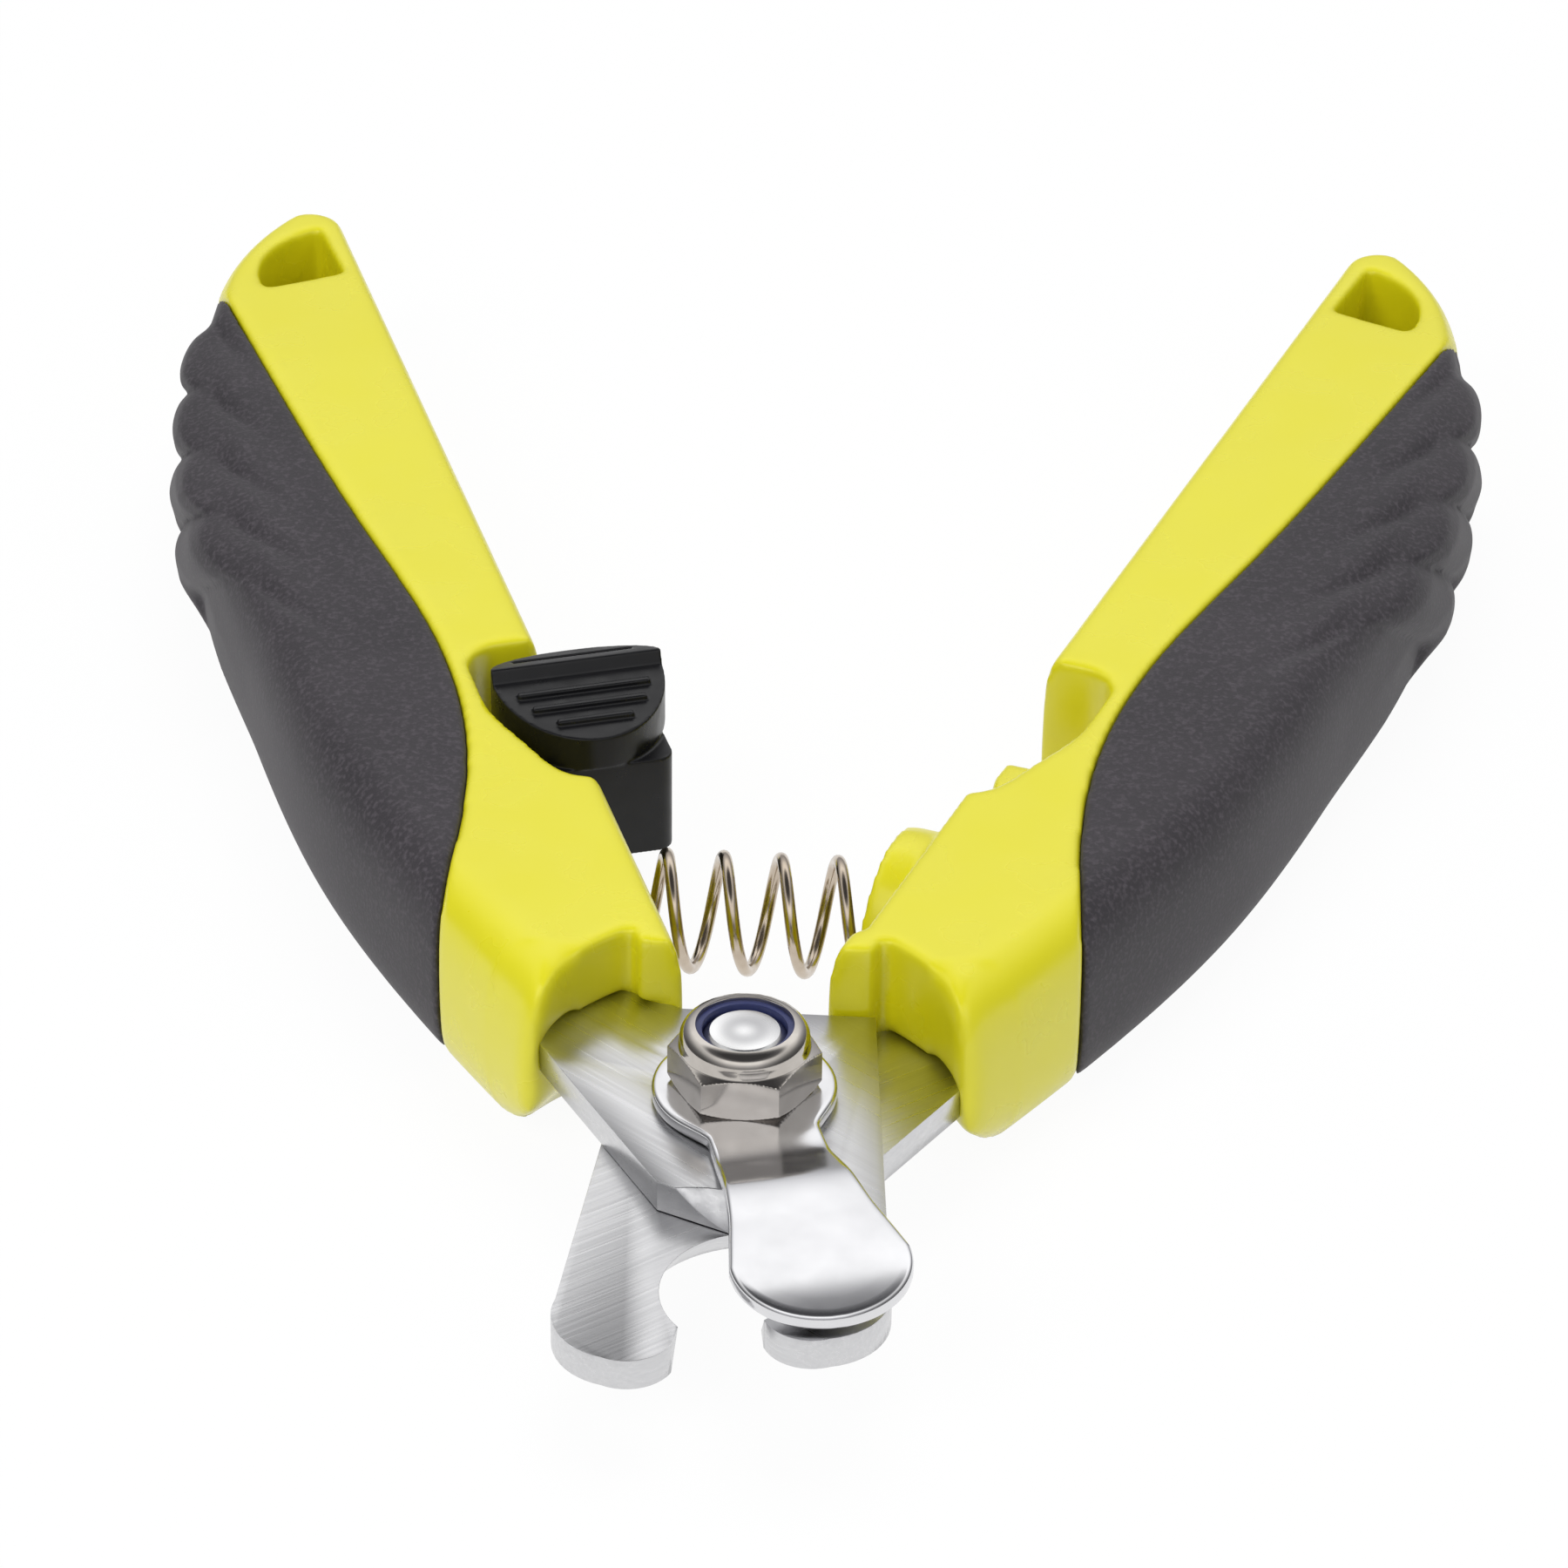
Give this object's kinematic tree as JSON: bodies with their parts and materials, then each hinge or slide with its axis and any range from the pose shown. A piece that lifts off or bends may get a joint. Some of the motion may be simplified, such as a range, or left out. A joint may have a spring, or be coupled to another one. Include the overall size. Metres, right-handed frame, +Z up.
{
  "type": "pet nail clippers",
  "caption": "Sprung pet nail clippers with hooked blades on one pivot, a swinging nail guard, a sliding lock and soft grips on moulded handles.",
  "frame": {"origin": "middle of the open clippers' box in plan, on the surface that they lie on", "axes": "+Y from the blade tips towards the handle tips, +Z up square to the blades, +X towards the right handle, on which no lock is fitted"},
  "size_m": [0.0944, 0.1312, 0.0147],
  "materials": {
    "lime_plastic": "glossy moulded",
    "soft_grip": "matte, finely textured",
    "blade_steel": "satin, ground",
    "polished_steel": "polished",
    "nickel_plate": "polished nickel",
    "blue_nylon": "satin",
    "plain_steel": "turned",
    "nickel_wire": "drawn wire",
    "black_plastic": "semi-gloss"
  },
  "bodies": {
    "left_half": {"left_handle": "lime_plastic", "left_grip": "soft_grip", "upper_blade": "blade_steel", "left_front_pin": "plain_steel", "left_rear_pin": "plain_steel", "pivot_bolt": "plain_steel", "bolt_washer": "plain_steel", "lock_nut": "nickel_plate", "nut_insert": "blue_nylon", "opening_spring": "nickel_wire"},
    "right_half": {"right_handle": "lime_plastic", "right_grip": "soft_grip", "lower_blade": "blade_steel", "right_front_pin": "plain_steel", "right_rear_pin": "plain_steel"},
    "guard": {"nail_guard": "polished_steel"},
    "lock": {"lock_slide": "black_plastic"}
  },
  "joints": [
    {"name": "handle_pivot", "type": "hinge", "parent": "left_half", "child": "right_half", "pos_m": [0, -0.04213, 0.0068], "axis": [0, 0, 1], "range_deg": [0, 38], "stiffness_Nm_per_rad": 0.5, "springref_deg": -5.73, "deforming": ["opening_spring"]},
    {"name": "guard_swing", "type": "hinge", "parent": "left_half", "child": "guard", "pos_m": [0, -0.04213, 0.0068], "axis": [0, 0, 1], "range_deg": [-45, 40]},
    {"name": "lock_travel", "type": "slide", "parent": "left_half", "child": "lock", "axis": [-0.3256, 0.9455, 0], "range_m": [0, 0.0022]}
  ]
}
